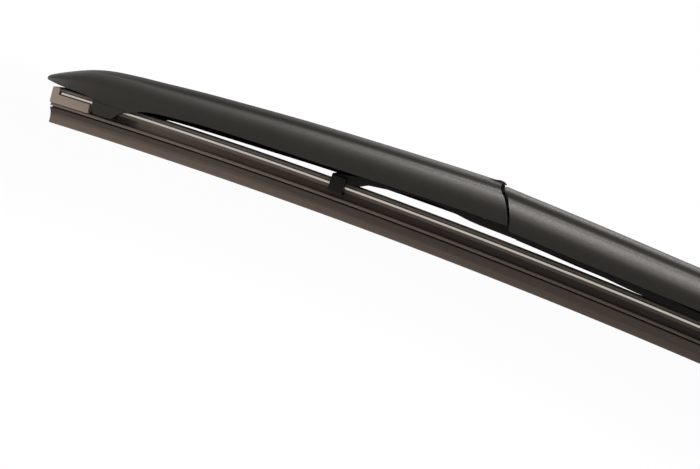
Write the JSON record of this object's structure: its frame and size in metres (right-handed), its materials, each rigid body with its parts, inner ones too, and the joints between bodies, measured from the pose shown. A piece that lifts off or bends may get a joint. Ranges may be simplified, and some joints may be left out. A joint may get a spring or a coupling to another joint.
{
  "type": "wiper blade",
  "caption": "Car wiper blade with a bowed rubber on spring-steel strips, hidden levers under smooth spoiler covers, hinged outer covers and a clip for a hook arm.",
  "frame": {"origin": "middle of the arm pin, where the arm's hook holds the clip", "axes": "+X along the blade, away from the hook's nose; +Y to the rear, the side that the spoiler crest leans to; +Z away from the glass"},
  "size_m": [0.6118, 0.0185, 0.0514],
  "materials": {
    "cover_plastic": "satin",
    "clip_plastic": "satin",
    "bush_plastic": "matte",
    "lever_steel": "satin",
    "pin_steel": "satin",
    "strip_steel": "satin",
    "blade_rubber": "matte"
  },
  "bodies": {
    "clip": {"arm_clip": "clip_plastic"},
    "lever": {"front_rail": "lever_steel", "rear_rail": "lever_steel", "left_bridge": "lever_steel", "right_bridge": "lever_steel", "centre_cover": "cover_plastic", "arm_pin": "pin_steel", "left_pivot_pin": "pin_steel", "right_pivot_pin": "pin_steel", "wiper_rubber": "blade_rubber", "front_strip": "strip_steel", "rear_strip": "strip_steel"},
    "left_rocker": {"left_yoke": "lever_steel", "left_front_bush": "bush_plastic", "left_rear_bush": "bush_plastic"},
    "right_rocker": {"right_yoke": "lever_steel", "right_front_bush": "bush_plastic", "right_rear_bush": "bush_plastic"},
    "left_wing": {"left_cover": "cover_plastic"},
    "right_wing": {"right_cover": "cover_plastic"}
  },
  "joints": [
    {"name": "arm_swivel", "type": "hinge", "parent": "clip", "child": "lever", "pos_m": [0, 0, 0], "axis": [0, 1, 0], "range_deg": [-12, 12]},
    {"name": "left_yoke_pivot", "type": "hinge", "parent": "lever", "child": "left_rocker", "pos_m": [-0.13817, 0, -0.00639], "axis": [0, 1, 0], "range_deg": [-2, 4], "stiffness_Nm_per_rad": 2, "deforming": ["wiper_rubber", "front_strip", "rear_strip"]},
    {"name": "left_cover_pivot", "type": "hinge", "parent": "left_rocker", "child": "left_wing", "pos_m": [-0.13817, 0, -0.00639], "axis": [0, 1, 0], "range_deg": [-1.38, 2.76], "deforming": ["wiper_rubber", "front_strip", "rear_strip"]},
    {"name": "right_yoke_pivot", "type": "hinge", "parent": "lever", "child": "right_rocker", "pos_m": [0.13817, 0, -0.00639], "axis": [0, -1, 0], "range_deg": [-2, 4], "stiffness_Nm_per_rad": 2, "deforming": ["wiper_rubber", "front_strip", "rear_strip"]},
    {"name": "right_cover_pivot", "type": "hinge", "parent": "right_rocker", "child": "right_wing", "pos_m": [0.13817, 0, -0.00639], "axis": [0, -1, 0], "range_deg": [-1.38, 2.76], "deforming": ["wiper_rubber", "front_strip", "rear_strip"]}
  ],
  "couplings": [
    {"joint": "left_cover_pivot", "follows": "left_yoke_pivot", "ratio": 0.69},
    {"joint": "right_cover_pivot", "follows": "right_yoke_pivot", "ratio": 0.69}
  ]
}
